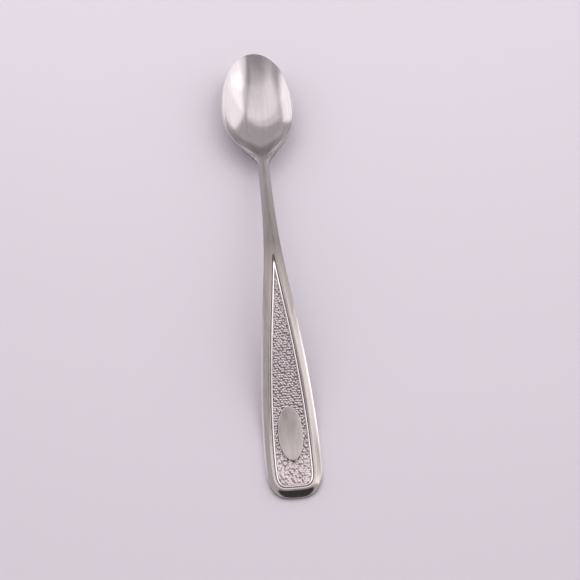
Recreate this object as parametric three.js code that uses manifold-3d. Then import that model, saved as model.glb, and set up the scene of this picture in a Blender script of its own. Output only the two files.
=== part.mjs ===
// Infant feeding spoon, stamped in one piece from stainless steel: a drawn egg-shaped bowl, a slim arched
// stem and a flared handle with a sunken stippled field, a bead round the field and a blank oval cartouche.
// Millimetres, +Z up. Stations along the spoon are counted from the handle's end, towards the bowl's tip.
// The finished part lies on the plane Z = 0, with its origin under the middle of its length.

import * as THREE from 'three';
import { ParametricGeometry } from 'three/addons/geometries/ParametricGeometry.js';
import { mergeGeometries, mergeVertices } from 'three/addons/utils/BufferGeometryUtils.js';
import Module from 'manifold-3d';

// Lengths along the spoon
const LENGTH = 140;
const BOWL_LENGTH = 40.4;          // tip to the waist, where the bowl runs into the stem
const WIDEST_FROM_TIP = 20.4;      // tip to the bowl's widest station
const HANDLE_LENGTH = 70;          // end to the station where the stem starts
const END_ROUND = 11;              // length of the handle's rounded end
const HIP_FROM_END = 43.8;         // station halfway along the flare
const APEX_TO_STEM = 5;            // upper point of the sunken panel to the stem

// Widths across the spoon
const BOWL_WIDTH = 20.7;
const WAIST_WIDTH = 3.2;
const HIP_WIDTH = 10;
const HANDLE_WIDTH = 14.4;
const END_SQUARENESS = 3;          // power of the superellipse that rounds the handle's end

// Heights of the edge above the table, and how far the stamping dishes or crowns from it
const BOWL_DEPTH = 4;
const TIP_RISE = 1.2;              // the bowl's tip stands this much above its widest station
const WAIST_HEIGHT = 6.3;
const ARCH_HEIGHT = 10.4;
const ARCH_TO_WAIST = 39.6;        // top of the arch to the waist
const CLIMB_HEIGHT = 5.8;
const CLIMB_FROM_END = 36;
const REST_LENGTH = 12;            // the handle lies flat on the table up to here
const STEM_CROWN = 0.8;            // the middle of the stem stands this much above its edges
const HANDLE_CROWN = 1.1;          // and so does the border of the handle
const ROLL_WIDTH = 2;              // edge to the level part, across the rounded border
const ROLL_POWER = 1.5;            // 1 for a straight chamfer, 2 for a full round

// Thicknesses of the steel
const BOWL_GAUGE = 1.2;
const LIP_THICKNESS = 0.6;
const RIM_LAND = 0.4;              // width of the level lip round the hollow
const REST_FLAT = 0.15;            // how deep the bowl's underside is worn flat where it rests
const STEM_GAUGE = 2.4;
const STEM_EDGE = 1.2;
const HANDLE_EDGE = 0.8;

// Sunken panel of the handle
const BORDER_WIDTH = 2.4;          // handle's edge to the foot of the panel's wall
const WALL_RUN = 0.3;              // how far the wall leans back from its foot
const FIELD_RECESS = 0.4;          // border down to the field
const FIELD_THICKNESS = 0.35;
const BEAD_WIDTH = 0.5;
const BEAD_HEIGHT = 0.3;           // bead's top above the field
const APEX_WIDTH = 0.4;            // width of the panel at its upper point
const FIT_GAP = 0.05;              // clearance between the panel's pieces

// Blank oval cartouche on the field
const CARTOUCHE_WIDTH = 6.4;
const CARTOUCHE_LENGTH = 14.6;
const CARTOUCHE_FROM_END = 17;
const CARTOUCHE_EDGE = 0.25;
const CARTOUCHE_DOME = 0.25;

// Rows and columns of the surfaces
const TIP_ROWS = 10;
const NECK_ROWS = 16;
const STEM_ROWS = 12;
const STEM_COLUMNS = 8;
const FLARE_ROWS = 24;
const END_ROWS = 7;
const ROLL_ROWS = 3;               // outer rows of the handle that shape its rounded border
const CARTOUCHE_ROWS = 10;

const { lerp, smoothstep } = THREE.MathUtils;
const wasm = await Module();
wasm.setup();

const WAIST = LENGTH - BOWL_LENGTH;
const WIDEST = LENGTH - WIDEST_FROM_TIP;
const ARCH = WAIST - ARCH_TO_WAIST;
const APEX = HANDLE_LENGTH - APEX_TO_STEM;
const RIM_HEIGHT = BOWL_DEPTH + BOWL_GAUGE;
const RIM_SHARE = RIM_LAND / (BOWL_WIDTH / 2);

// A draughtsman's spline: the smooth curve through [station, value] knots, level at both ends
function flexCurve(knots) {
  const last = knots.length - 1;
  const span = (i) => knots[i + 1][0] - knots[i][0];
  const rise = (i) => knots[i + 1][1] - knots[i][1];
  const slope = knots.map(() => 0);
  const carry = knots.map(() => 0);
  for (let i = 1; i < last; i++) {
    const before = 1 / span(i - 1);
    const after = 1 / span(i);
    const pivot = 2 * (before + after) - before * carry[i - 1];
    const pull = 3 * (rise(i - 1) * before ** 2 + rise(i) * after ** 2);
    carry[i] = after / pivot;
    slope[i] = (pull - before * slope[i - 1]) / pivot;
  }
  for (let i = last - 1; i > 0; i--) slope[i] -= carry[i] * slope[i + 1];
  return (station) => {
    const s = THREE.MathUtils.clamp(station, knots[0][0], knots[last][0]);
    let i = 0;
    while (i < last - 1 && s > knots[i + 1][0]) i++;
    const t = (s - knots[i][0]) / span(i);
    const start = knots[i][1] * (1 + 2 * t) + slope[i] * span(i) * t;
    const end = knots[i + 1][1] * (3 - 2 * t) - slope[i + 1] * span(i) * (1 - t);
    return start * (1 - t) ** 2 + end * t ** 2;
  };
}

// Share of the bowl's form at a station: 0 up to the waist, 1 from the widest station to the tip
function swell(s) {
  const t = THREE.MathUtils.clamp((WIDEST - s) / (WIDEST - WAIST), 0, 1);
  return (1 - (t ** 2 + t ** 4) / 2) ** 2;
}

// A size that changes from the handle to the stem and on to the bowl
function graded(handle, stem, bowl) {
  return (s) => (s < WAIST
    ? lerp(handle, stem, smoothstep(s, REST_LENGTH, WAIST))
    : lerp(stem, bowl, swell(s)));
}

const flare = flexCurve([
  [END_ROUND, HANDLE_WIDTH / 2],
  [HIP_FROM_END, HIP_WIDTH / 2],
  [APEX, BORDER_WIDTH + APEX_WIDTH / 2],
  [WAIST, WAIST_WIDTH / 2],
]);
const halfWidth = (s) => (s < WAIST ? flare(s) : lerp(WAIST_WIDTH / 2, BOWL_WIDTH / 2, swell(s)));
const edgeHeight = flexCurve([
  [REST_LENGTH, HANDLE_EDGE],
  [CLIMB_FROM_END, CLIMB_HEIGHT],
  [ARCH, ARCH_HEIGHT],
  [WAIST, WAIST_HEIGHT],
  [WIDEST, RIM_HEIGHT],
  [LENGTH, RIM_HEIGHT + TIP_RISE],
]);
const crown = graded(HANDLE_CROWN, STEM_CROWN, 0);
const dish = graded(0, 0, BOWL_DEPTH);
const edge = graded(HANDLE_EDGE, STEM_EDGE, LIP_THICKNESS);
const gauge = graded(HANDLE_EDGE + HANDLE_CROWN, STEM_GAUGE, BOWL_GAUGE + REST_FLAT);

// Share of the crown at a distance from the edge: a roll that runs out level
function roll(inset) {
  return 1 - (1 - Math.min(1, inset / ROLL_WIDTH)) ** ROLL_POWER;
}

// Upper and lower surface: reach is 0 on the centre line and 1 on the edge, inset is the distance from it
function topHeight({ s, reach, inset }) {
  const hollow = Math.min(1, reach / (1 - RIM_SHARE * swell(s)));
  return edgeHeight(s) + crown(s) * roll(inset) - dish(s) * (1 - hollow ** 2);
}

function bottomHeight({ s, reach }) {
  const middle = crown(s) * roll(halfWidth(s));
  const belly = gauge(s) - edge(s) - middle + dish(s);
  return Math.max(0, edgeHeight(s) - edge(s) - belly * (1 - reach ** 2));
}

// Level of the sunken field, a fixed drop below the level part of the border
function fieldHeight({ s }) {
  return edgeHeight(s) + crown(s) - FIELD_RECESS;
}

// A surface that is a fixed lift above another
function lifted(height, lift) {
  return (point) => height(point) + lift;
}

// Station where the flare has narrowed to a given half width, found by halving the stretch that holds it
function narrowsTo(half) {
  const halvings = 50;
  let wide = END_ROUND;
  let narrow = WAIST;
  for (let i = 0; i < halvings; i++) {
    const middle = (wide + narrow) / 2;
    if (flare(middle) > half) wide = middle;
    else narrow = middle;
  }
  return narrow;
}

// Square grid point carried to a unit disc, with square rings becoming round ones
function disc(along, across) {
  const wedge = Math.PI / 4;
  if (along === 0 && across === 0) return { along, across, reach: 0 };
  if (Math.abs(along) >= Math.abs(across)) {
    const turn = wedge * across / along;
    return { along: along * Math.cos(turn), across: along * Math.sin(turn), reach: Math.abs(along) };
  }
  const turn = wedge * along / across;
  return { along: across * Math.sin(turn), across: across * Math.cos(turn), reach: Math.abs(across) };
}

// How far a superellipse stands out from the circle in the direction of a disc point
function standOut({ along, across, reach }) {
  const sum = Math.abs(along / reach) ** END_SQUARENESS + Math.abs(across / reach) ** END_SQUARENESS;
  return sum ** (-1 / END_SQUARENESS);
}

// Half size of a ring, from 0 in the middle to 1 on the edge: the outer rings share a band of fixed width
function banded(ring, full, band, bandShare) {
  const inner = 1 - bandShare;
  if (ring <= inner) return ring / inner * (full - band);
  return full - band * (1 - ring) / bandShare;
}

// Plan of the bowl: straight rows from the waist to the widest station, then the elliptical tip.
// The outermost ring of cells is the lip.
function withLip(ring, full, land) {
  return banded(ring, full, land, 1 / TIP_ROWS);
}

function bowlPlan(u, v) {
  const row = u * (NECK_ROWS + TIP_ROWS);
  if (row <= NECK_ROWS) {
    const s = lerp(WAIST, WIDEST, row / NECK_ROWS);
    const reach = withLip(Math.abs(v), 1, RIM_SHARE);
    const half = halfWidth(s);
    return { x: Math.sign(v) * reach * half, s, reach, inset: (1 - reach) * half };
  }
  const point = disc((row - NECK_ROWS) / TIP_ROWS, v);
  const width = withLip(point.reach, BOWL_WIDTH / 2, RIM_LAND) / point.reach;
  const length = withLip(point.reach, WIDEST_FROM_TIP, RIM_LAND) / point.reach;
  const reach = withLip(point.reach, 1, RIM_SHARE);
  const inset = (1 - reach) * BOWL_WIDTH / 2;
  return { x: point.across * width, s: WIDEST + point.along * length, reach, inset };
}

function stemPlan(u, v) {
  const s = lerp(HANDLE_LENGTH, WAIST, u);
  return { x: v * halfWidth(s), s, reach: Math.abs(v), inset: (1 - Math.abs(v)) * halfWidth(s) };
}

// Plan of the handle, drawn in all round and stopped at a far station. Spread gives the rings' half sizes.
function handlePlan(drawnIn, far, spread) {
  return (u, v) => {
    const row = u * (END_ROWS + FLARE_ROWS);
    if (row >= END_ROWS) {
      const s = lerp(END_ROUND, far, (row - END_ROWS) / FLARE_ROWS);
      const full = flare(s) - drawnIn;
      const half = spread(Math.abs(v), full);
      return { x: Math.sign(v) * half, s, reach: half / full, inset: full - half };
    }
    const point = disc(1 - row / END_ROWS, v);
    const full = HANDLE_WIDTH / 2 - drawnIn;
    const half = spread(point.reach, full);
    const stand = point.reach === 0 ? 0 : standOut(point) / point.reach;
    return {
      x: point.across * stand * half,
      s: END_ROUND - point.along * stand * spread(point.reach, END_ROUND - drawnIn),
      reach: half / full,
      inset: full - half,
    };
  };
}

const evenly = (ring, full) => ring * full;
const withRoll = (ring, full) => banded(ring, full, ROLL_WIDTH, ROLL_ROWS / END_ROWS);

// The panel's outline: the handle's, drawn in, up to the station where it comes to a point
function panelPlan(drawnIn) {
  return handlePlan(drawnIn, narrowsTo(drawnIn + APEX_WIDTH / 2), evenly);
}

function cartouchePlan(u, v) {
  const point = disc(2 * u - 1, v);
  return {
    x: point.across * CARTOUCHE_WIDTH / 2,
    s: CARTOUCHE_FROM_END + point.along * CARTOUCHE_LENGTH / 2,
    reach: point.reach,
  };
}

// A surface over a plan
function surface(plan, height) {
  return (u, v) => {
    const point = plan(u, v);
    return new THREE.Vector3(point.x, point.s, height(point));
  };
}

// Closed solid between a lower and an upper surface, with walls round their borders
function slab(lower, upper, rows, columns) {
  const between = (u, a, k, target) => {
    const v = 2 * a - 1;
    target.lerpVectors(lower(u, v), upper(u, v), k);
  };
  const faces = [
    new ParametricGeometry((a, u, p) => between(u, a, 1, p), columns, rows),
    new ParametricGeometry((a, u, p) => between(u, 1 - a, 0, p), columns, rows),
    new ParametricGeometry((k, u, p) => between(u, 0, k, p), 1, rows),
    new ParametricGeometry((k, u, p) => between(u, 1, 1 - k, p), 1, rows),
    new ParametricGeometry((a, k, p) => between(0, a, k, p), columns, 1),
    new ParametricGeometry((a, k, p) => between(1, 1 - a, k, p), columns, 1),
  ];
  const joined = mergeGeometries(faces);
  joined.deleteAttribute('normal');
  joined.deleteAttribute('uv');
  return mergeVertices(joined);
}

function toSolid(geometry) {
  return new wasm.Manifold(new wasm.Mesh({
    numProp: 3,
    vertProperties: new Float32Array(geometry.attributes.position.array),
    triVerts: new Uint32Array(geometry.index.array),
  }));
}

function cut(body, ...tools) {
  const result = tools.reduce((left, tool) => left.subtract(toSolid(tool)), toSolid(body)).getMesh();
  const geometry = new THREE.BufferGeometry();
  geometry.setAttribute('position', new THREE.BufferAttribute(result.vertProperties, 3));
  geometry.setIndex(new THREE.BufferAttribute(result.triVerts, 1));
  return geometry;
}

function steel(color, roughness) {
  return new THREE.MeshStandardMaterial({ color, roughness, metalness: 1 });
}

const spoon = new THREE.Group();
spoon.position.y = -LENGTH / 2;

function addPiece(name, geometry, material) {
  geometry.computeVertexNormals();
  const mesh = new THREE.Mesh(geometry, material);
  mesh.name = name;
  spoon.add(mesh);
}

// Slab over a handle-shaped plan, between two heights
function handleSlab(lowerPlan, lowerHeight, upperPlan, upperHeight) {
  const lower = surface(lowerPlan, lowerHeight);
  const upper = surface(upperPlan, upperHeight);
  return slab(lower, upper, END_ROWS + FLARE_ROWS, 2 * END_ROWS);
}

function makeBowl() {
  const lower = surface(bowlPlan, bottomHeight);
  const upper = surface(bowlPlan, topHeight);
  return slab(lower, upper, NECK_ROWS + TIP_ROWS, 2 * TIP_ROWS);
}

function makeStem() {
  return slab(surface(stemPlan, bottomHeight), surface(stemPlan, topHeight), STEM_ROWS, STEM_COLUMNS);
}

// The handle's blank less the panel with its leaning wall and the bed that the bead and the field lie in.
// The wall's slope is carried on above the border, so that it cuts the blank cleanly.
function makeHandle() {
  const plan = handlePlan(0, HANDLE_LENGTH, withRoll);
  const blank = handleSlab(plan, bottomHeight, plan, topHeight);
  const foot = panelPlan(BORDER_WIDTH);
  const apex = narrowsTo(BORDER_WIDTH + APEX_WIDTH / 2);
  const mouth = handlePlan(BORDER_WIDTH - 2 * WALL_RUN, apex + 2 * WALL_RUN, evenly);
  const panel = handleSlab(foot, fieldHeight, mouth, lifted(fieldHeight, 2 * FIELD_RECESS));
  const bedDepth = FIELD_THICKNESS + FIT_GAP;
  const bed = handleSlab(foot, lifted(fieldHeight, -bedDepth), foot, lifted(fieldHeight, FIELD_RECESS / 2));
  return cut(blank, panel, bed);
}

const BEAD_OUTER = BORDER_WIDTH + FIT_GAP;
const BEAD_INNER = BEAD_OUTER + BEAD_WIDTH;
const fieldUnderside = lifted(fieldHeight, -FIELD_THICKNESS);

function makeBead() {
  const outer = panelPlan(BEAD_OUTER);
  const inner = panelPlan(BEAD_INNER);
  const band = handleSlab(outer, fieldUnderside, outer, lifted(fieldHeight, BEAD_HEIGHT));
  const opening = handleSlab(
    inner,
    lifted(fieldUnderside, -FIELD_THICKNESS),
    inner,
    lifted(fieldHeight, 2 * BEAD_HEIGHT),
  );
  return cut(band, opening);
}

function makeField() {
  const plan = panelPlan(BEAD_INNER + FIT_GAP);
  return handleSlab(plan, fieldUnderside, plan, fieldHeight);
}

function makeCartouche() {
  const seat = lifted(fieldHeight, FIT_GAP);
  const dome = (point) => seat(point) + CARTOUCHE_EDGE + CARTOUCHE_DOME * (1 - point.reach ** 2);
  return slab(surface(cartouchePlan, seat), surface(cartouchePlan, dome), CARTOUCHE_ROWS, CARTOUCHE_ROWS);
}

addPiece('bowl', makeBowl(), steel(0xd2cfcd, 0.12));
addPiece('stem', makeStem(), steel(0xc6c2bf, 0.25));
addPiece('handle', makeHandle(), steel(0xc6c2bf, 0.3));
addPiece('bead', makeBead(), steel(0xdad8d6, 0.15));
addPiece('stippled_field', makeField(), steel(0xb4b0ad, 0.5));
addPiece('cartouche', makeCartouche(), steel(0xc8c5c2, 0.35));

export default spoon;
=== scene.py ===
import math

import bmesh
import bpy
import numpy as np
from mathutils import Matrix, Vector


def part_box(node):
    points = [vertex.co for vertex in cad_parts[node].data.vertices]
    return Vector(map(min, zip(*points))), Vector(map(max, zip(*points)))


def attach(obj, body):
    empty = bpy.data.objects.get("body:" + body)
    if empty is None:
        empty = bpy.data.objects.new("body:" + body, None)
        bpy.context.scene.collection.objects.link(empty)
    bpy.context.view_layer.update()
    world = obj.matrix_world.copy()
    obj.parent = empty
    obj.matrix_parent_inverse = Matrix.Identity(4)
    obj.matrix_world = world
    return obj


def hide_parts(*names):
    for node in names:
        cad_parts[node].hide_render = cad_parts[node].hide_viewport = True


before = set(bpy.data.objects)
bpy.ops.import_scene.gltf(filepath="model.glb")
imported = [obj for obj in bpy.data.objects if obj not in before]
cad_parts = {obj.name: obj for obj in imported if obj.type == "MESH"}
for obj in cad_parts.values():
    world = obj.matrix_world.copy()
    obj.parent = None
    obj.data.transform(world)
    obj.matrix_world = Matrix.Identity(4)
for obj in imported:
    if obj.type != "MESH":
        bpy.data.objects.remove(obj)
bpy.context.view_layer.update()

bl_info = {
    "name": "Infant Feeding Spoon",
    "version": (1, 0, 0),
    "blender": (4, 5, 0),
    "location": "View3D > Sidebar > Spoon",
    "description": "Presses a steel infant feeding spoon on its packed frame and lights it on a pale table",
    "category": "Add Mesh",
}

MM = 0.001
BOWL_LOW, BOWL_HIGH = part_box("bowl")
HANDLE_LOW, HANDLE_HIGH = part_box("handle")
TIP, WAIST = BOWL_HIGH.y, BOWL_LOW.y
STEM_START, END = HANDLE_HIGH.y, HANDLE_LOW.y


def distance(name, description, default):
    return bpy.props.FloatProperty(
        name=name, description=description, default=default, unit="LENGTH", precision=5
    )


def share(name, description, default):
    return bpy.props.FloatProperty(
        name=name, description=description, default=default, min=0.0, max=1.0, subtype="FACTOR"
    )


def turn(name, description, default):
    return bpy.props.FloatProperty(
        name=name, description=description, default=math.radians(default), subtype="ANGLE"
    )


def exponent(name, description, default, least):
    return bpy.props.FloatProperty(name=name, description=description, default=default, min=least)


def tint(name, description, default):
    return bpy.props.FloatVectorProperty(
        name=name, description=description, default=default, size=3, min=0.0, subtype="COLOR"
    )


class SpoonSizes(bpy.types.PropertyGroup):
    """Sizes of the stamping, in metres"""

    bowl_width: distance("Bowl Width", "Width at the widest station", BOWL_HIGH.x - BOWL_LOW.x)
    widest_from_tip: distance("Widest From Tip", "Tip to the bowl's widest station", 20.4 * MM)
    bowl_depth: distance("Bowl Depth", "Rim down to the bottom of the hollow", 4 * MM)
    bowl_gauge: distance("Bowl Gauge", "Steel under the bottom of the hollow", 1.2 * MM)
    rest_flat: distance("Rest Flat", "Depth of the flat that the bowl rests on", 0.15 * MM)
    tip_rise: distance("Tip Rise", "Tip above the rim at the widest station", 1.2 * MM)
    rim_land: distance("Rim Land", "Width of the level lip round the hollow", 0.4 * MM)
    lip: distance("Lip", "Thickness of the lip", 0.6 * MM)
    waist_width: distance("Waist Width", "Width where the bowl runs into the stem", 3.2 * MM)
    waist_height: distance("Waist Height", "Edge of the waist above the table", 6.3 * MM)
    arch_to_waist: distance("Arch To Waist", "Top of the arch to the waist", 39.6 * MM)
    arch_height: distance("Arch Height", "Edge of the stem there above the table", 10.38 * MM)
    stem_gauge: distance("Stem Gauge", "Thickness in the middle of the stem", 2.4 * MM)
    stem_edge: distance("Stem Edge", "Thickness at the edge of the stem", 1.2 * MM)
    climb_from_end: distance("Climb From End", "Station halfway up the handle", 36 * MM)
    climb_height: distance("Climb Height", "Edge of the handle there above the table", 5.8 * MM)
    rest_length: distance("Rest Length", "Stretch of the handle that lies flat", 12 * MM)
    handle_width: distance("Handle Width", "Widest part of the handle", HANDLE_HIGH.x - HANDLE_LOW.x)
    hip_from_end: distance("Hip From End", "Station halfway along the flare", 43.8 * MM)
    hip_width: distance("Hip Width", "Width of the handle there", 10 * MM)
    end_round: distance("End Round", "Length of the rounded end", 11 * MM)
    end_squareness: exponent("End Squareness", "Power of the superellipse of the end", 3.0, 2.0)
    panel_squareness: exponent("Panel Squareness", "Power of the superellipse of the panel's end", 5.0, 2.0)
    handle_edge: distance("Handle Edge", "Thickness at the edge of the handle", 0.8 * MM)
    stem_crown: distance("Stem Crown", "Middle of the stem above its edge", 0.8 * MM)
    handle_crown: distance("Handle Crown", "Border of the handle above its edge", 1.1 * MM)
    roll_width: distance("Roll Width", "Edge to the level part of the border", 1.75 * MM)
    roll_power: exponent("Roll Power", "1 for a straight chamfer, 2 for a full round", 1.2, 1.0)
    border: distance("Border", "Edge to the foot of the panel's wall", 2.4 * MM)
    wall_run: distance("Wall Run", "How far the panel's wall leans back", 0.1 * MM)
    recess: distance("Recess", "Border down to the field", 0.4 * MM)
    bed: distance("Bed", "Field's surface down to the bed it lies in", 0.4 * MM)
    apex_to_stem: distance("Apex To Stem", "Upper point of the panel to the stem", 5 * MM)
    apex_width: distance("Apex Width", "Width of the panel at its upper point", 0.4 * MM)
    run_out: distance("Run Out", "Stretch in which the panel runs out past its point", 0.8 * MM)
    edge_round: distance("Edge Round", "Radius of the buffed edges", 0.14 * MM)
    bead_width: distance("Bead Width", "Thickness of the bead", 0.5 * MM)
    bead_height: distance("Bead Height", "Bead's top above the field", 0.36 * MM)
    fit_gap: distance("Fit Gap", "Clearance between the panel's pieces", 0.05 * MM)
    field_thickness: distance("Field Thickness", "Thickness of the field", 0.3 * MM)
    pebble: distance("Pebble", "Pitch of the stipple", 0.73 * MM)
    pebble_height: distance("Pebble Height", "Height of the stipple", 0.22 * MM)
    cartouche_width: distance("Cartouche Width", "Width of the blank oval", 6.4 * MM)
    cartouche_length: distance("Cartouche Length", "Length of the blank oval", 14.6 * MM)
    cartouche_from_end: distance("Cartouche From End", "End to the oval's middle", 17 * MM)
    cartouche_edge: distance("Cartouche Edge", "Height of the oval's edge", 0.25 * MM)
    cartouche_dome: distance("Cartouche Dome", "Height of the oval's dome", 0.25 * MM)


class SpoonFinish(bpy.types.PropertyGroup):
    """Colours and finishes of the steel"""

    steel: tint("Steel", "Colour of the polished steel", (0.42, 0.4, 0.404))
    satin: tint("Satin Steel", "Colour of the satin steel", (0.464, 0.433, 0.415))
    # The shank and hip colours are darker than the satin handle and the polished bowl
    shank: tint("Shank Steel", "Colour of the duller stem", (0.29, 0.273, 0.273))
    hip: tint(
        "Hip Steel", "Colour of the dullest stretch, where the stem meets the handle", (0.2, 0.182, 0.17)
    )
    # The bright steel tint is a painted highlight: the bead's colour, and the colour that the painted
    # highlight on the handle's edge and neck flanks mixes towards
    bright: tint("Bright Steel", "Colour of the burnished bead", (0.78, 0.755, 0.75))
    # The pit colour is painted shade in the stipple's hollows, and the pebble colour is a painted highlight
    # on its tops
    painted_pit_shade: tint("Pit", "Colour of the stipple's pits", (0.28, 0.252, 0.255))
    pebble: tint("Pebble", "Colour of the stipple's pebbles", (0.57, 0.514, 0.52))
    polish: share("Polish", "Roughness of the polished bowl", 0.15)
    sheen: share("Satin", "Roughness of the satin handle", 0.32)
    dullness: share("Dullness", "Roughness of the duller stem", 0.34)


class SpoonStudio(bpy.types.PropertyGroup):
    """Table, lights and camera"""

    table: tint("Table", "Colour of the table", (0.772, 0.742, 0.802))
    room: tint("Room", "Colour of the room in the steel", (0.79, 0.722, 0.76))
    light: tint("Light", "Colour of the softboxes", (1.0, 0.97, 0.98))
    pitch: turn("Pitch", "Camera's angle below the horizon", 58.0)
    yaw: turn("Yaw", "Camera's angle to the spoon's length", 3.583)
    roll: turn("Roll", "Camera's lean", -2.0)
    reach: distance("Reach", "Camera to the point it looks at", 0.4056)
    lens: bpy.props.FloatProperty(
        name="Lens", description="Focal length", default=93.1, unit="CAMERA"
    )
    target: bpy.props.FloatVectorProperty(
        name="Target",
        description="Point that the camera looks at",
        default=(0.003865, -0.0088, 0.0),
        size=3,
        subtype="TRANSLATION",
    )


def flex_curve(knots):
    """A draughtsman's spline: the smooth curve through (station, value) knots, level at both ends"""
    at, value = np.array(knots).T
    span, rise = np.diff(at), np.diff(value)
    last = len(at) - 1
    system = np.eye(len(at))
    pull = np.zeros(len(at))
    for i in range(1, last):
        before, after = 1 / span[i - 1], 1 / span[i]
        system[i, i - 1:i + 2] = before, 2 * (before + after), after
        pull[i] = 3 * (rise[i - 1] * before ** 2 + rise[i] * after ** 2)
    slope = np.linalg.solve(system, pull)

    def curve(station):
        s = np.clip(station, at[0], at[-1])
        i = np.clip(np.searchsorted(at, s, side="right") - 1, 0, last - 1)
        t = (s - at[i]) / span[i]
        start = value[i] * (1 + 2 * t) + slope[i] * span[i] * t
        finish = value[i + 1] * (3 - 2 * t) - slope[i + 1] * span[i] * (1 - t)
        return start * (1 - t) ** 2 + finish * t ** 2

    return curve


def smooth_step(value, low, high):
    t = np.clip((value - low) / (high - low), 0, 1)
    return t * t * (3 - 2 * t)


def mix(a, b, t):
    return a + (b - a) * t


# Steps of a search by halves, the share of the way to the tip on which the lip runs out, the bed's run-out
HALVINGS = 40
LIP_RUNS_OUT = 0.6
BED_RUNS_OUT = 1 * MM

# Where the painted highlight starts or stops: lengths from the handle's end, in from its edge and from the
# waist
HIGHLIGHT_FROM_END = (3 * MM, 9 * MM)
HIGHLIGHT_TO_HIP = (36 * MM, 58 * MM)
HIGHLIGHT_FROM_EDGE = (0.3 * MM, 0.6 * MM)
HIGHLIGHT_FROM_WAIST = (3 * MM, 6 * MM)
HIGHLIGHT_TO_BOWL = (9 * MM, 15 * MM)

# The neck's inner flanks that carry a painted highlight, as shares of the way from the centre line to the
# edge, and how strongly the highlight is painted there
FLANK_INNER = (0.35, 0.65)
FLANK_OUTER = (0.85, 0.95)
FLANK_HIGHLIGHT = 0.5


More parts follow.
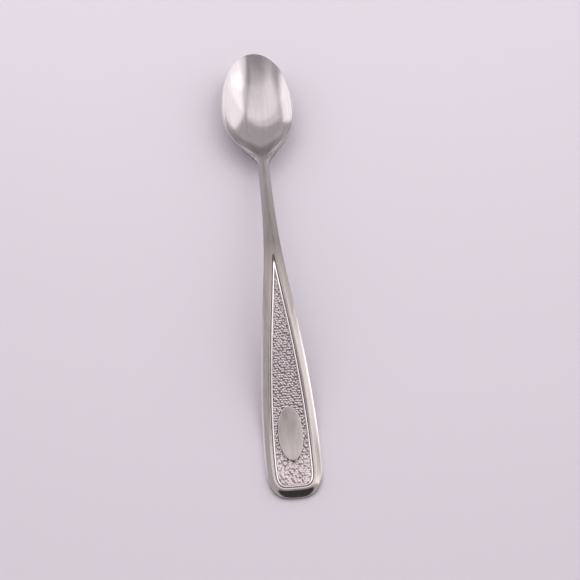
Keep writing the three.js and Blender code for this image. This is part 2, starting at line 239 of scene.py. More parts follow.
class SpoonForm:
    """Outline and heights of the stamping. Stations are the part's own Y, in metres."""

    def __init__(self, sizes):
        self.sizes = sizes
        self.widest = TIP - sizes.widest_from_tip
        self.rounding = END + sizes.end_round
        self.apex = STEM_START - sizes.apex_to_stem
        self.rest = END + sizes.rest_length
        rim = sizes.bowl_depth + sizes.bowl_gauge
        self.flare = flex_curve([
            (self.rounding, sizes.handle_width / 2),
            (END + sizes.hip_from_end, sizes.hip_width / 2),
            (self.apex, sizes.border + sizes.apex_width / 2),
            (WAIST, sizes.waist_width / 2),
        ])
        self.edge_height = flex_curve([
            (self.rest, sizes.handle_edge),
            (END + sizes.climb_from_end, sizes.climb_height),
            (WAIST - sizes.arch_to_waist, sizes.arch_height),
            (WAIST, sizes.waist_height),
            (self.widest, rim),
            (TIP, rim + sizes.tip_rise),
        ])

    def swell(self, y):
        """Share of the bowl's form: 0 up to the waist, 1 from the widest station to the tip"""
        t = np.clip((self.widest - y) / (self.widest - WAIST), 0, 1)
        return (1 - (t ** 2 + t ** 4) / 2) ** 2

    def graded(self, y, handle, stem, bowl):
        """A size that changes from the handle to the stem and on to the bowl"""
        shank = mix(handle, stem, smooth_step(y, self.rest, WAIST))
        return np.where(y < WAIST, shank, mix(stem, bowl, self.swell(y)))

    def half_width(self, y):
        """Centre line to the edge, up to the bowl's widest station"""
        neck = mix(self.sizes.waist_width, self.sizes.bowl_width, self.swell(y)) / 2
        return np.where(y < WAIST, self.flare(y), neck)

    def narrows_to(self, half):
        """Station where the flare has narrowed to a half width"""
        wide, narrow = self.rounding, WAIST
        for _ in range(HALVINGS):
            middle = (wide + narrow) / 2
            if self.flare(middle) > half:
                wide = middle
            else:
                narrow = middle
        return narrow

    def crown(self, y):
        """How far the middle or the border stands above the edge"""
        return self.graded(y, self.sizes.handle_crown, self.sizes.stem_crown, 0.0)

    def roll(self, inset):
        """Share of the crown at a distance from the edge: a roll that runs out level"""
        return 1 - (1 - np.clip(inset / self.sizes.roll_width, 0, 1)) ** self.sizes.roll_power

    def sunken(self, y, inset):
        """Share of the panel's depth: 0 on the border, 1 at the foot of its leaning wall"""
        foot = self.sizes.border
        wall = np.clip((inset - foot + self.sizes.wall_run) / self.sizes.wall_run, 0, 1)
        return wall * (1 - smooth_step(y, self.apex, self.apex + self.sizes.run_out))

    def lip_share(self, y):
        """The level lip runs out towards the tip"""
        return 1 - smooth_step(y, self.widest, mix(self.widest, TIP, LIP_RUNS_OUT))

    def top(self, y, reach, inset):
        """Height of the upper surface: reach is 0 on the centre line and 1 on the edge"""
        land = self.sizes.rim_land / (self.sizes.bowl_width / 2) * self.swell(y) * self.lip_share(y)
        hollow = np.minimum(1, reach / (1 - land))
        dish = self.graded(y, 0.0, 0.0, self.sizes.bowl_depth)
        point = self.narrows_to(self.sizes.border + self.sizes.bead_width / 2)
        bed = self.sizes.bed * (inset > self.sizes.border)
        bed = bed * (1 - smooth_step(y, point - BED_RUNS_OUT, point + BED_RUNS_OUT))
        drop = self.sunken(y, inset) * (self.sizes.recess + bed)
        border = self.crown(y) * self.roll(inset)
        return self.edge_height(y) + border - dish * (1 - hollow ** 2) - drop

    def bottom(self, y, reach):
        """Height of the underside"""
        sizes = self.sizes
        edge = self.graded(y, sizes.handle_edge, sizes.stem_edge, sizes.lip)
        gauge = self.graded(
            y, sizes.handle_edge + sizes.handle_crown, sizes.stem_gauge, sizes.bowl_gauge + sizes.rest_flat
        )
        middle = self.crown(y) * self.roll(self.half_width(y))
        dish = self.graded(y, 0.0, 0.0, sizes.bowl_depth)
        belly = gauge - edge - middle + dish
        return np.maximum(0, self.edge_height(y) - edge - belly * (1 - reach ** 2))

    def painted_highlight(self, y, reach, inset):
        """Share of painted highlight mixed into the steel's colour: a light line along the handle's outer
        edge and on the neck's inner flanks
        """
        handle = smooth_step(y - END, *HIGHLIGHT_FROM_END) * (1 - smooth_step(y - END, *HIGHLIGHT_TO_HIP))
        edge = handle * (1 - smooth_step(inset, *HIGHLIGHT_FROM_EDGE))
        neck = smooth_step(y - WAIST, *HIGHLIGHT_FROM_WAIST) * (1 - smooth_step(y - WAIST, *HIGHLIGHT_TO_BOWL))
        flank = neck * smooth_step(reach, *FLANK_INNER) * (1 - smooth_step(reach, *FLANK_OUTER))
        return edge + FLANK_HIGHLIGHT * flank

    def field(self, y):
        """Height of the sunken field"""
        return self.edge_height(y) + self.crown(y) - self.sizes.recess


def stand_out(angle, power):
    """How far a superellipse stands out from the circle at an angle"""
    return (np.abs(np.cos(angle)) ** power + np.abs(np.sin(angle)) ** power) ** (-1 / power)


def deselect_all():
    if bpy.context.mode != "OBJECT":
        bpy.ops.object.mode_set(mode="OBJECT")
    bpy.ops.object.select_all(action="DESELECT")


# A flat stock is laid out in unit cells: how near counts as the same place, and how thick its slab is
NEAR = 0.01
SLAB = 1


def flat_stock(name, columns, rows, tip_steps, end_steps):
    """Strip of unit cells, with half discs of cells spun on at its far and near ends.
    Columns are counted from the centre line to one edge."""
    deselect_all()
    bpy.ops.mesh.primitive_grid_add(x_subdivisions=2 * columns, y_subdivisions=rows, size=1)
    stock = bpy.context.object
    stock.name = name
    stock.data.name = name
    bpy.ops.object.mode_set(mode="EDIT")
    bpy.ops.transform.resize(value=(2 * columns, rows, 1))
    bpy.ops.transform.translate(value=(0, rows / 2, 0))
    spin_end(stock, rows, tip_steps, -math.pi)
    spin_end(stock, 0, end_steps, math.pi)
    bpy.ops.mesh.select_all(action="SELECT")
    bpy.ops.mesh.remove_doubles(threshold=NEAR)
    bpy.ops.mesh.normals_make_consistent(inside=False)
    return stock


def spin_end(stock, row, steps, angle):
    """Spins one half of a row round the centre line, to close the strip with a half disc"""
    if steps == 0:
        return
    bpy.ops.mesh.select_all(action="DESELECT")
    bm = bmesh.from_edit_mesh(stock.data)
    for edge in bm.edges:
        if all(abs(v.co.y - row) < NEAR and v.co.x > -NEAR for v in edge.verts):
            edge.select_set(True)
    bmesh.update_edit_mesh(stock.data)
    bpy.ops.mesh.spin(steps=steps, angle=angle, center=(0, row, 0), axis=(0, 0, 1))


def stock_places(verts, rows):
    """Column, row, side, turn and end of each vertex of a flat stock. Turn is the angle round a spun end,
    and end is 1 past the last row, -1 before the first and 0 between."""
    co = np.array([v.co for v in verts])
    beyond = np.where(co[:, 1] > rows, co[:, 1] - rows, np.minimum(co[:, 1], 0))
    column = np.where(beyond == 0, np.abs(co[:, 0]), np.hypot(co[:, 0], beyond))
    angle = np.where(beyond == 0, 0, np.arctan2(np.abs(beyond), co[:, 0]))
    return column, np.clip(co[:, 1], 0, rows), np.sign(co[:, 0]), angle, np.sign(beyond)


def place(verts, x, y, z):
    for vert, *point in zip(verts, x, y, z):
        vert.co = point


BLANK_ROWS = {"flare": 84, "stem": 42, "neck": 46}
BLANK_COLUMNS = 27
TIP_STEPS = 80
END_STEPS = 56
LIP_COLUMNS = 2

# Columns of the border, in millimetres from the edge: past the wall's foot, up the wall and over the roll
BORDER_INSETS = (2.43, 2.4, 2.35, 2.3, 2.1, 1.8, 1.5, 1.2, 0.9, 0.6, 0.3, 0.0)


def blank_plan(form, verts):
    """Places of a flat stock's vertices in the spoon's outline, with their reach and inset"""
    sizes = form.sizes
    rows = sum(BLANK_ROWS.values())
    column, row, side, angle, end = stock_places(verts, rows)
    ends = np.cumsum([0, *BLANK_ROWS.values()])
    y = np.interp(row, ends, [form.rounding, form.apex, WAIST, form.widest])
    half = form.half_width(y)

    # In the handle the outer columns keep their distance from the edge, and the inner ones share the floor
    floor_columns = BLANK_COLUMNS + 1 - len(BORDER_INSETS)
    insets = np.array(BORDER_INSETS) * MM
    fitted = np.minimum(1, (half - sizes.apex_width / 2) / sizes.border)
    border = np.interp(column, np.arange(floor_columns, BLANK_COLUMNS + 1), insets) * fitted
    inner = np.minimum(1, column / floor_columns)

    def handle_half(full):
        return np.where(column < floor_columns, inner * (full - insets[0] * fitted), full - border)

    # In the bowl the outermost columns are the lip, and the inner ones share the hollow
    hollow_columns = BLANK_COLUMNS - LIP_COLUMNS
    lip = np.clip((BLANK_COLUMNS - column) / LIP_COLUMNS, 0, 1) * sizes.rim_land
    hollow = np.minimum(1, column / hollow_columns)

    def bowl_half(full, land):
        return np.where(column < hollow_columns, hollow * (full - sizes.rim_land * land), full - lip * land)

    land = half / (sizes.bowl_width / 2)
    change = smooth_step(y, form.apex, WAIST)
    across = mix(handle_half(half), bowl_half(half, land), change)
    x = side * across

    tip = end > 0
    wide = bowl_half(sizes.bowl_width / 2, 1.0)
    along = bowl_half(sizes.widest_from_tip, sizes.widest_from_tip / (sizes.bowl_width / 2))
    x = np.where(tip, np.cos(angle) * wide, x)
    y = np.where(tip, form.widest + np.sin(angle) * along, y)
    across = np.where(tip, wide, across)

    butt = end < 0
    inward = np.minimum(1, border / sizes.border)
    stand = stand_out(angle, mix(sizes.end_squareness, sizes.panel_squareness, inward))
    wide = handle_half(sizes.handle_width / 2)
    along = handle_half(sizes.end_round)
    x = np.where(butt, np.cos(angle) * stand * wide, x)
    y = np.where(butt, form.rounding - np.sin(angle) * stand * along, y)
    across = np.where(butt, wide, across)
    return x, y, across / half, half - across


# Least angle of an edge that is buffed, in degrees, and the facets across its round
BLANK_SHARP = 24
OVAL_SHARP = 40
ROUND_SEGMENTS = 2


def shade_and_round(edge_round, sharpness):
    """Buffs the sharp edges of the piece in edit mode and shades it smooth"""
    bpy.ops.mesh.select_mode(type="EDGE")
    bpy.ops.mesh.select_all(action="DESELECT")
    bpy.ops.mesh.edges_select_sharp(sharpness=math.radians(sharpness))
    bpy.ops.mesh.bevel(offset=edge_round, segments=ROUND_SEGMENTS, affect="EDGES", clamp_overlap=True)
    bpy.ops.mesh.select_mode(type="VERT")
    bpy.ops.object.mode_set(mode="OBJECT")
    bpy.ops.object.shade_smooth()


def apply_modifier(piece, kind, **settings):
    modifier = piece.modifiers.new(kind.title(), kind)
    for key, value in settings.items():
        setattr(modifier, key, value)
    bpy.context.view_layer.objects.active = piece
    bpy.ops.object.modifier_apply(modifier=modifier.name)


def thicken():
    """Extrudes a flat stock up, into a closed slab"""
    bpy.ops.mesh.select_all(action="SELECT")
    bpy.ops.mesh.extrude_region_move(TRANSFORM_OT_translate={"value": (0, 0, SLAB)})
    bpy.ops.mesh.select_all(action="SELECT")
    bpy.ops.mesh.normals_make_consistent(inside=False)


def upper_face(verts):
    """Which vertices of a slab lie on its upper face"""
    return np.array([v.co.z > SLAB / 2 for v in verts])


def press_blank(form):
    """The whole stamping as one closed mesh: a flat stock cut to the outline and pressed top and bottom"""
    rows = sum(BLANK_ROWS.values())
    blank = flat_stock("blank", BLANK_COLUMNS, rows, TIP_STEPS, END_STEPS)
    thicken()
    bm = bmesh.from_edit_mesh(blank.data)
    upper = upper_face(bm.verts)
    x, y, reach, inset = blank_plan(form, bm.verts)
    place(bm.verts, x, y, np.where(upper, form.top(y, reach, inset), form.bottom(y, reach)))
    # Vertex attribute with the share of painted highlight, which the steel material mixes into its colour
    painted_highlight_share = bm.verts.layers.float.new("painted_highlight_share")
    for vert, value in zip(bm.verts, form.painted_highlight(y, reach, inset)):
        vert[painted_highlight_share] = value
    bmesh.update_edit_mesh(blank.data)
    shade_and_round(form.sizes.edge_round, BLANK_SHARP)
    apply_modifier(blank, "SUBSURF", levels=1, render_levels=1)
    return blank


CUT_SNAP = 1e-6


def part_off(blank, name, low, high):
    """A copy of the stretch of the blank between two stations, with the blank's own shading at its cuts"""
    deselect_all()
    piece = blank.copy()
    piece.data = blank.data.copy()
    piece.name = name
    piece.data.name = name
    bpy.context.collection.objects.link(piece)
    piece.select_set(True)
    bpy.context.view_layer.objects.active = piece
    bpy.ops.object.mode_set(mode="EDIT")
    for station, keeps_far in ((low, True), (high, False)):
        if station is None:
            continue
        bpy.ops.mesh.select_all(action="SELECT")
        bpy.ops.mesh.bisect(
            plane_co=(0, station, 0), plane_no=(0, 1, 0), threshold=CUT_SNAP,
            clear_inner=keeps_far, clear_outer=not keeps_far,
        )
    bpy.ops.mesh.select_mode(type="EDGE")
    select_open_edges()
    bpy.ops.mesh.mark_sharp()
    bpy.ops.object.mode_set(mode="OBJECT")
    apply_modifier(
        piece, "DATA_TRANSFER", object=blank, use_loop_data=True,
        data_types_loops={"CUSTOM_NORMAL"}, loop_mapping="POLYINTERP_NEAREST",
    )
    bpy.ops.object.mode_set(mode="EDIT")
    select_open_edges()
    bpy.ops.mesh.edge_face_add()
    bpy.ops.object.mode_set(mode="OBJECT")
    return piece


def panel_apex(form, inset):
    """Station where an outline drawn in from the handle's edge comes to its upper point"""
    return form.narrows_to(inset + form.sizes.apex_width / 2)


# Points along a flank and round the end, steps in the wire's round, and half the ring's width at its point
WIRE_FLANK = 90
WIRE_END = 60
WIRE_RESOLUTION = 4
WIRE_POINT = 0.02 * MM


def bend_bead(form):
    """A ring of round wire, bent to the panel's outline and laid along the foot of its wall"""
    sizes = form.sizes
    inset = sizes.border + sizes.fit_gap + sizes.bead_width / 2
    deselect_all()
    bpy.ops.mesh.primitive_circle_add(vertices=2 * WIRE_FLANK + WIRE_END, fill_type="NOTHING")
    bead = bpy.context.object
    bead.name = "bead_wire"
    bead.data.name = bead.name
    station = np.linspace(form.narrows_to(inset + WIRE_POINT), form.rounding, WIRE_FLANK, endpoint=False)
    angle = np.linspace(0, math.pi, WIRE_END)
    stand = stand_out(angle, sizes.panel_squareness)
    end_x = np.cos(angle) * stand * (sizes.handle_width / 2 - inset)
    end_y = form.rounding - np.sin(angle) * stand * (sizes.end_round - inset)
    flank = form.flare(station) - inset
    x = np.concatenate([flank, end_x, -flank[::-1]])
    y = np.concatenate([station, end_y, station[::-1]])
    z = form.field(y) + sizes.bead_height - sizes.bead_width / 2
    bead.data.vertices.foreach_set("co", np.stack([x, y, z], axis=1).ravel())
    bpy.ops.object.convert(target="CURVE")
    bead.data.bevel_depth = sizes.bead_width / 2
    bead.data.bevel_resolution = WIRE_RESOLUTION
    bpy.ops.object.convert(target="MESH")
    bpy.ops.object.shade_smooth()
    return bead


FIELD_COLUMNS = 43
FIELD_ROWS = 450
FIELD_END_STEPS = 100
PEBBLE_SEED = 4

# Shares of the stipple's pitch: how far a pebble slips from its place, its radius and the pitch of the rows
PEBBLE_JITTER = 0.28
PEBBLE_RADIUS = 0.56
ROW_PITCH = 0.87

# Pebbles along each side of the square in which the slips repeat
SLIP_REPEAT = 160


def pebbled(x, y, pitch):
    """Height of a coined stipple, 1 on a pebble's top and 0 in the pits: round pebbles on a loose lattice"""
    slips = np.random.default_rng(PEBBLE_SEED).uniform(
        -PEBBLE_JITTER, PEBBLE_JITTER, (SLIP_REPEAT, SLIP_REPEAT, 2)
    )
    u, v = x / pitch, y / (ROW_PITCH * pitch)
    height = np.zeros(len(x))
    for step in range(-1, 2):
        row = np.floor(v + 0.5).astype(int) + step
        shift = 0.5 * (row % 2)
        for hop in range(-1, 2):
            pebble = np.floor(u - shift + 0.5).astype(int) + hop
            slip = slips[pebble % SLIP_REPEAT, row % SLIP_REPEAT]
            away = np.hypot(u - shift - pebble - slip[:, 0], ROW_PITCH * (v - row - slip[:, 1]))
            height = np.maximum(height, 1 - (away / PEBBLE_RADIUS) ** 2)
    return height


def coin_field(form):
    """The sunken field: a slab cut to the panel's outline, with a pebbled upper face"""
    sizes = form.sizes
    inset = sizes.border + sizes.bead_width + 2 * sizes.fit_gap
    field = flat_stock("field_stippled", FIELD_COLUMNS, FIELD_ROWS, 0, FIELD_END_STEPS)
    thicken()
    bm = bmesh.from_edit_mesh(field.data)
    upper = upper_face(bm.verts)
    column, row, side, angle, end = stock_places(bm.verts, FIELD_ROWS)
    reach = column / FIELD_COLUMNS
    y = mix(form.rounding, panel_apex(form, inset), row / FIELD_ROWS)
    x = side * reach * (form.flare(y) - inset)
    stand = stand_out(angle, sizes.panel_squareness) * reach
    butt = end < 0
    x = np.where(butt, np.cos(angle) * stand * (sizes.handle_width / 2 - inset), x)
    y = np.where(butt, form.rounding - np.sin(angle) * stand * (sizes.end_round - inset), y)
    place(bm.verts, x, y, np.where(upper, 0, -sizes.field_thickness))
    bmesh.update_edit_mesh(field.data)
    bpy.ops.object.mode_set(mode="OBJECT")

    # The pebble height is also stored for the material, which paints shade into the pits and a highlight
    # onto the tops
    height = np.where(upper & (reach < 1), pebbled(x, y, sizes.pebble), 1)
    tops = field.data.attributes.new("pebble", "FLOAT", "POINT")
    tops.data.foreach_set("value", height)
    for vert, drop in zip(field.data.vertices, sizes.pebble_height * (1 - height)):
        vert.co.z -= drop
    for vert, rise in zip(field.data.vertices, form.field(y)):
        vert.co.z += rise
    bpy.ops.object.shade_smooth()
    return field


OVAL_VERTICES = 96
OVAL_RINGS = 7


def strike_cartouche(form):
    """A blank domed oval, raised from the field by insets that climb to its middle"""
    sizes = form.sizes
    deselect_all()
    bpy.ops.mesh.primitive_circle_add(vertices=OVAL_VERTICES, radius=1, fill_type="NGON")
    oval = bpy.context.object
    oval.name = "cartouche_blank"
    oval.data.name = oval.name
    bpy.ops.object.mode_set(mode="EDIT")
    bpy.ops.transform.resize(value=(sizes.cartouche_width / 2, sizes.cartouche_length / 2, 1))
    bpy.ops.transform.translate(value=(0, END + sizes.cartouche_from_end, 0))
    bpy.ops.mesh.extrude_region_move(TRANSFORM_OT_translate={"value": (0, 0, sizes.cartouche_edge)})
    middle = Vector((0, END + sizes.cartouche_from_end, 0))
    for ring in range(OVAL_RINGS, 1, -1):
        climb = sizes.cartouche_dome * (2 * ring - 1) / OVAL_RINGS ** 2
        shrink = (ring - 1) / ring
        bpy.ops.mesh.extrude_region_move(TRANSFORM_OT_translate={"value": (0, 0, climb)})
        bpy.ops.transform.resize(value=(shrink, shrink, 1), center_override=middle)
    bpy.ops.mesh.poke()
    bm = bmesh.from_edit_mesh(oval.data)
    y = np.array([v.co.y for v in bm.verts])
    for vert, rise in zip(bm.verts, form.field(y)):
        vert.co.z += rise + sizes.fit_gap
    bmesh.update_edit_mesh(oval.data)
    bpy.ops.mesh.select_all(action="SELECT")
    bpy.ops.mesh.normals_make_consistent(inside=False)
    shade_and_round(sizes.edge_round / 2, OVAL_SHARP)
    apply_modifier(oval, "SUBSURF", levels=1, render_levels=1)
    return oval


def select_open_edges():
    bpy.ops.mesh.select_all(action="DESELECT")
    bpy.ops.mesh.select_non_manifold(
        extend=False, use_wire=False, use_boundary=True, use_multi_face=False,
        use_non_contiguous=False, use_verts=False,
    )


def closed(piece):
    """Checks that a piece came out as a closed solid"""
    if not piece.data.polygons:
        raise RuntimeError(f"{piece.name} came out empty")
    mesh = bmesh.new()
    mesh.from_mesh(piece.data)
    open_edges = sum(not edge.is_manifold for edge in mesh.edges)
    mesh.free()
    if open_edges:
        raise RuntimeError(f"{piece.name} isn't closed: {open_edges} open edges")


def dress(piece, node, material):
    """Sets a piece's finish and lets it stand for its CAD node"""
    closed(piece)
    piece.data.materials.clear()
    piece.data.materials.append(material)
    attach(piece, "root")
    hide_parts(node)


class SPOON_OT_stamping(bpy.types.Operator):
    """Press the blank and part it into bowl, stem and handle"""

    bl_idname = "spoon.stamping"
    bl_label = "Bowl, Stem and Handle"

    def execute(self, context):
        form = SpoonForm(context.scene.spoon_sizes)
        blank = press_blank(form)
        bowl = part_off(blank, "bowl_drawn", WAIST, None)
        stem = part_off(blank, "stem_arched", STEM_START, WAIST)
        handle = part_off(blank, "handle_coined", None, STEM_START)
        finish = context.scene.spoon_finish
        dress(bowl, "bowl", stamped_steel(finish, "polished steel"))
        dress(stem, "stem", stamped_steel(finish, "shank steel"))
        dress(handle, "handle", stamped_steel(finish, "satin steel"))
        bpy.data.meshes.remove(blank.data)
        return {"FINISHED"}


class SPOON_OT_bead(bpy.types.Operator):
    """Bend the bright bead round the panel"""

    bl_idname = "spoon.bead"
    bl_label = "Bead"

    def execute(self, context):
        finish = context.scene.spoon_finish
        bead = bend_bead(SpoonForm(context.scene.spoon_sizes))
        # The bead is polished like the bowl, and its lighter colour is a painted highlight
        dress(bead, "bead", even_steel(finish, "bright bead", finish.bright, finish.polish))
        return {"FINISHED"}


class SPOON_OT_field(bpy.types.Operator):
    """Coin the stippled field of the panel"""

    bl_idname = "spoon.field"
    bl_label = "Stippled Field"

    def execute(self, context):
        finish = context.scene.spoon_finish
        field = coin_field(SpoonForm(context.scene.spoon_sizes))
        dress(field, "stippled_field", stippled_steel(finish))
        return {"FINISHED"}


class SPOON_OT_cartouche(bpy.types.Operator):
    """Strike the blank oval on the field"""

    bl_idname = "spoon.cartouche"
    bl_label = "Cartouche"

    def execute(self, context):
        finish = context.scene.spoon_finish
        oval = strike_cartouche(SpoonForm(context.scene.spoon_sizes))
        dress(oval, "cartouche", even_steel(finish, "struck oval", finish.satin, finish.sheen))
        return {"FINISHED"}


def add_node(tree, kind, inputs=None, **settings):
    """A node with its settings; an input that is another node's socket is linked, any other is set"""
    made = tree.nodes.new(kind)
    for key, value in settings.items():
        setattr(made, key, value)
    for key, value in (inputs or {}).items():
        if isinstance(value, bpy.types.NodeSocket):
            tree.links.new(value, made.inputs[key])
        else:
            made.inputs[key].default_value = value
    return made


def new_finish(name):
    material = bpy.data.materials.new(name)
    material.use_nodes = True
    tree = material.node_tree
    shader = tree.nodes["Principled BSDF"]
    shader.inputs["Metallic"].default_value = 1
    return material, tree, shader


def object_place(tree):
    return add_node(tree, "ShaderNodeTexCoord").outputs["Object"]


def streaks(tree, across, along):
    """Noise drawn out along the spoon, as a buffing wheel leaves it. Sizes are in metres."""
    stretch = add_node(
        tree, "ShaderNodeMapping",
        {"Vector": object_place(tree), "Scale": (1 / across, 1 / along, 1 / across)},
    )
    noise = add_node(
        tree, "ShaderNodeTexNoise", {"Vector": stretch.outputs["Vector"], "Scale": 1.0, "Detail": 2.0}
    )
    return noise.outputs["Fac"]


def ranged(tree, value, low, high, to_low, to_high, kind="LINEAR"):
    made = add_node(
        tree, "ShaderNodeMapRange",
        {"Value": value, "From Min": low, "From Max": high, "To Min": to_low, "To Max": to_high},
        interpolation_type=kind,
    )
    return made.outputs["Result"]


def combined(tree, operation, a, b):
    made = add_node(tree, "ShaderNodeMath", {0: a, 1: b}, operation=operation)
    return made.outputs["Value"]


# A Mix node's sockets for colours
MIX_FIRST = 6
MIX_SECOND = 7
MIX_RESULT = 2


def blended(tree, factor, first, second):
    """Mix of two colours, the first another node's socket or written out, the second written out"""
    made = add_node(tree, "ShaderNodeMix", {"Factor": factor, MIX_SECOND: (*second, 1)}, data_type="RGBA")
    if isinstance(first, bpy.types.NodeSocket):
        tree.links.new(first, made.inputs[MIX_FIRST])
    else:
        made.inputs[MIX_FIRST].default_value = (*first, 1)
    return made.outputs[MIX_RESULT]


# Widths and lengths of the buffing lines and of the broader streaks, and the depth of the lines
LINES = (0.09 * MM, 8 * MM)
STREAKS = (0.7 * MM, 30 * MM)
LINE_DEPTH = 0.005 * MM

# Ranges of noise and what they map to: how much a streak darkens rough steel, and how much it roughens
STREAK_DARKENS = (0.35, 0.65, 0.4, 0.0)
STREAK_ROUGHENS = (0.7, 1.3, 0.85, 1.2)
BLACK = (0.0, 0.0, 0.0)


def steel(finish, name, stations):
    """Buffed steel: fine lines along the spoon and broader streaks, with a painted highlight mixed into the
    colour where the vertex attribute asks for it.
    Stations are (Y, colour, roughness), from the end of the handle towards the tip."""
    material, tree, shader = new_finish(name)
    y = add_node(tree, "ShaderNodeSeparateXYZ", {"Vector": object_place(tree)}).outputs["Y"]
    along = add_node(tree, "ShaderNodeValToRGB", {"Fac": ranged(tree, y, END, TIP, 0, 1)})
    stops = along.color_ramp.elements
    while len(stops) < len(stations):
        stops.new(1)
    for stop, (station, colour, roughness) in zip(stops, stations):
        stop.position = (station - END) / (TIP - END)
        stop.color = (*colour, roughness)
    roughness = along.outputs["Alpha"]
    fine = streaks(tree, *LINES)
    broad = streaks(tree, *STREAKS)
    # Painted highlight: the colour is mixed towards the bright steel tint by the vertex attribute
    highlight_mask = add_node(tree, "ShaderNodeAttribute", attribute_name="painted_highlight_share")
    tone = blended(tree, highlight_mask.outputs["Fac"], along.outputs["Color"], finish.bright)
    dark = combined(tree, "MULTIPLY", ranged(tree, broad, *STREAK_DARKENS), roughness)
    tree.links.new(blended(tree, dark, tone, BLACK), shader.inputs["Base Color"])
    uneven = ranged(tree, combined(tree, "ADD", fine, broad), *STREAK_ROUGHENS)
    tree.links.new(combined(tree, "MULTIPLY", uneven, roughness), shader.inputs["Roughness"])
    bump = add_node(tree, "ShaderNodeBump", {"Height": fine, "Strength": 1.0, "Distance": LINE_DEPTH})
    tree.links.new(bump.outputs["Normal"], shader.inputs["Normal"])
    return material


# Lengths of the finishes: the polished end and the satin behind it, and the fades at the hip and the bowl
POLISHED_END = 3 * MM
SATIN_FROM_END = 6 * MM
HANDLE_FADE = 28 * MM
SHANK_FADE = 22 * MM
BOWL_FADE = 8 * MM


def stamped_steel(finish, name):
    """The stamping's finish: a satin handle with a polished end, a darker and slightly rougher hip and
    shank, a polished bowl
    """
    return steel(finish, name, (
        (END + POLISHED_END, finish.satin, finish.polish),
        (END + SATIN_FROM_END, finish.satin, finish.sheen),
        (STEM_START - HANDLE_FADE, finish.satin, finish.sheen),
        (STEM_START, finish.hip, finish.dullness),
        (STEM_START + SHANK_FADE, finish.shank, finish.dullness),
        (WAIST, finish.shank, finish.dullness),
        (WAIST + BOWL_FADE, finish.steel, finish.polish),
    ))


def even_steel(finish, name, colour, roughness):
    """One finish from end to end"""
    return steel(finish, name, ((END, colour, roughness), (TIP, colour, roughness)))


# Height of a pebble from which it has its full painted highlight colour, and its range of heights and of
# roughness
PEBBLE_BRIGHT = 0.6
PEBBLE_POLISH = (0.0, 0.8, 0.5, 0.3)


def stippled_steel(finish):
    """Coined steel: pebble tops painted lighter as a painted highlight and pits painted darker as painted
    shade, with glossier tops and duller pits
    """
    material, tree, shader = new_finish("stippled steel")
    pebble = add_node(tree, "ShaderNodeAttribute", attribute_name="pebble")
    height = pebble.outputs["Fac"]
    # Painted shade in the pits and painted highlight on the tops, by pebble height
    bright = ranged(tree, height, 0, PEBBLE_BRIGHT, 0, 1)
    tree.links.new(blended(tree, bright, finish.painted_pit_shade, finish.pebble), shader.inputs["Base Color"])
    tree.links.new(ranged(tree, height, *PEBBLE_POLISH), shader.inputs["Roughness"])
    return material


# The dark place that the steel mirrors: direction, weight of each axis, inner and outer reach, level
DARK_MIDDLE = (0.0, -0.66, 0.75)
DARK_WEIGHTS = (0.26, 1.0, 1.0)
DARK_REACH = (0.29, 0.44)
DARK_LEVEL = 0.09

# Steepness at which the ceiling starts and is full, and the room's level before and after
CEILING = (0.86, 0.97, 1.0, 0.68)


def lit_room(studio):
    """The room round the table: an even grey, dimmer overhead and dark where the camera stands"""
    world = bpy.data.worlds.new("room")
    world.use_nodes = True
    tree = world.node_tree
    way = add_node(tree, "ShaderNodeTexCoord")
    direction = way.outputs["Generated"]
    away = add_node(tree, "ShaderNodeVectorMath", {0: direction, 1: DARK_MIDDLE}, operation="SUBTRACT")
    weighed = add_node(
        tree, "ShaderNodeVectorMath", {0: away.outputs["Vector"], 1: DARK_WEIGHTS}, operation="MULTIPLY"
    )
    far = add_node(tree, "ShaderNodeVectorMath", {0: weighed.outputs["Vector"]}, operation="LENGTH")
    dark = ranged(tree, far.outputs["Value"], *DARK_REACH, DARK_LEVEL, 1, "SMOOTHSTEP")
    upward = add_node(tree, "ShaderNodeSeparateXYZ", {"Vector": direction}).outputs["Z"]
    level = combined(tree, "MULTIPLY", dark, ranged(tree, upward, *CEILING, "SMOOTHSTEP"))
    background = tree.nodes["Background"]
    background.inputs["Color"].default_value = (*studio.room, 1)
    tree.links.new(level, background.inputs["Strength"])
    return world


def softbox(name, middle, turns, size, level, colour):
    """A rectangular soft light. Level is how bright it looks in the steel, 1 being white."""
    bpy.ops.object.light_add(type="AREA", location=middle, rotation=[math.radians(angle) for angle in turns])
    lamp = bpy.context.object
    lamp.name = name
    lamp.data.shape = "RECTANGLE"
    lamp.data.size, lamp.data.size_y = size
    lamp.data.energy = level * math.pi * size[0] * size[1]
    lamp.data.color = colour
    return lamp


def look_from(studio):
    """The camera's place and turn"""
    forward = Vector((
        math.sin(studio.yaw) * math.cos(studio.pitch),
        math.cos(studio.yaw) * math.cos(studio.pitch),
        -math.sin(studio.pitch),
    ))
    right = Vector((math.cos(studio.yaw), -math.sin(studio.yaw), 0))
    up = right.cross(forward)
    level = Matrix((right, up, -forward)).transposed()
    lean = Matrix.Rotation(studio.roll, 3, "Z")
    eye = Vector(studio.target) - forward * studio.reach
    return Matrix.Translation(eye) @ (level @ lean).to_4x4()


TABLE_SIZE = 4
TABLE_ROUGHNESS = 0.8
SENSOR_WIDTH = 36

# Name, middle, turns in degrees, size and level of each softbox
SOFTBOXES = (
    ("high left softbox", (-0.095, 0.207, 0.42), (-56, -12, -6.5), (0.46, 0.41), 0.58),
    ("upright softbox", (0.09, 0.168, 0.402), (-84.5, -11, 2), (0.7, 0.4), 0.43),
    ("right softbox", (0.47, 0.091, 0.528), (29.5, 71.5, -12), (0.96, 0.406), 1.2),
    ("far right softbox", (0.343, 0.322, 0.371), (-18.5, 100, -34.5), (0.572, 0.402), 1.26),
    ("low left softbox", (-0.209, 0.237, 0.108), (35, -100, -17), (0.105, 0.269), 1.5),
)


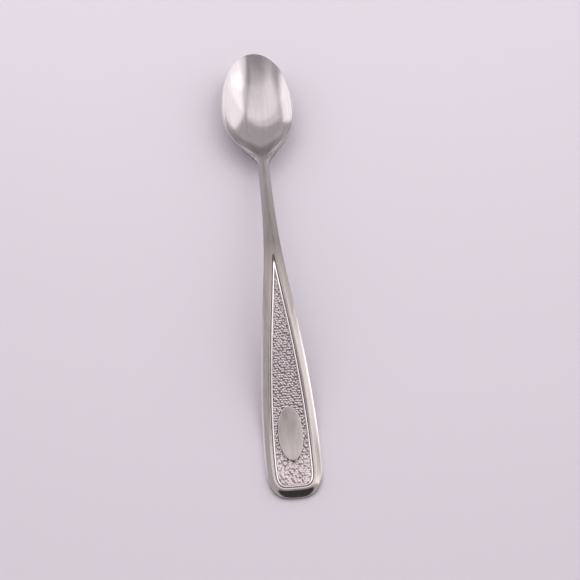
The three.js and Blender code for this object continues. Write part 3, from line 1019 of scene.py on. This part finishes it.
class SPOON_OT_studio(bpy.types.Operator):
    """Lay the table, light it and set the camera"""

    bl_idname = "spoon.studio"
    bl_label = "Studio"

    def execute(self, context):
        studio = context.scene.spoon_studio
        deselect_all()
        bpy.ops.mesh.primitive_plane_add(size=TABLE_SIZE)
        table = context.object
        table.name = "table"
        material = bpy.data.materials.new("table")
        material.use_nodes = True
        shader = material.node_tree.nodes["Principled BSDF"]
        shader.inputs["Base Color"].default_value = (*studio.table, 1)
        shader.inputs["Roughness"].default_value = TABLE_ROUGHNESS
        table.data.materials.append(material)

        camera_data = bpy.data.cameras.new("camera")
        camera_data.lens = studio.lens
        camera_data.sensor_width = SENSOR_WIDTH
        camera = bpy.data.objects.new("camera", camera_data)
        camera.matrix_world = look_from(studio)
        context.scene.collection.objects.link(camera)
        context.scene.camera = camera

        context.scene.world = lit_room(studio)
        for name, middle, turns, size, level in SOFTBOXES:
            softbox(name, middle, turns, size, level, studio.light)
        context.scene.view_settings.view_transform = "Standard"
        return {"FINISHED"}


class SPOON_PT_panel(bpy.types.Panel):
    """Buttons and sizes of the spoon"""

    bl_idname = "SPOON_PT_panel"
    bl_label = "Infant Feeding Spoon"
    bl_space_type = "VIEW_3D"
    bl_region_type = "UI"
    bl_category = "Spoon"

    def draw(self, context):
        for operator in OPERATORS:
            self.layout.operator(operator.bl_idname)
        for title, group in (
            ("Sizes", context.scene.spoon_sizes),
            ("Finish", context.scene.spoon_finish),
            ("Studio", context.scene.spoon_studio),
        ):
            box = self.layout.box()
            box.label(text=title)
            for name in group.__annotations__:
                box.prop(group, name)


OPERATORS = (SPOON_OT_stamping, SPOON_OT_bead, SPOON_OT_field, SPOON_OT_cartouche, SPOON_OT_studio)
CLASSES = (
    SpoonSizes,
    SpoonFinish,
    SpoonStudio,
    *OPERATORS,
    SPOON_PT_panel,
)


def register():
    for cls in CLASSES:
        bpy.utils.register_class(cls)
    bpy.types.Scene.spoon_sizes = bpy.props.PointerProperty(type=SpoonSizes)
    bpy.types.Scene.spoon_finish = bpy.props.PointerProperty(type=SpoonFinish)
    bpy.types.Scene.spoon_studio = bpy.props.PointerProperty(type=SpoonStudio)


def unregister():
    del bpy.types.Scene.spoon_studio
    del bpy.types.Scene.spoon_finish
    del bpy.types.Scene.spoon_sizes
    for cls in reversed(CLASSES):
        bpy.utils.unregister_class(cls)


def main():
    register()
    bpy.ops.spoon.stamping()
    bpy.ops.spoon.bead()
    bpy.ops.spoon.field()
    bpy.ops.spoon.cartouche()
    bpy.ops.spoon.studio()


if __name__ == "__main__":
    main()
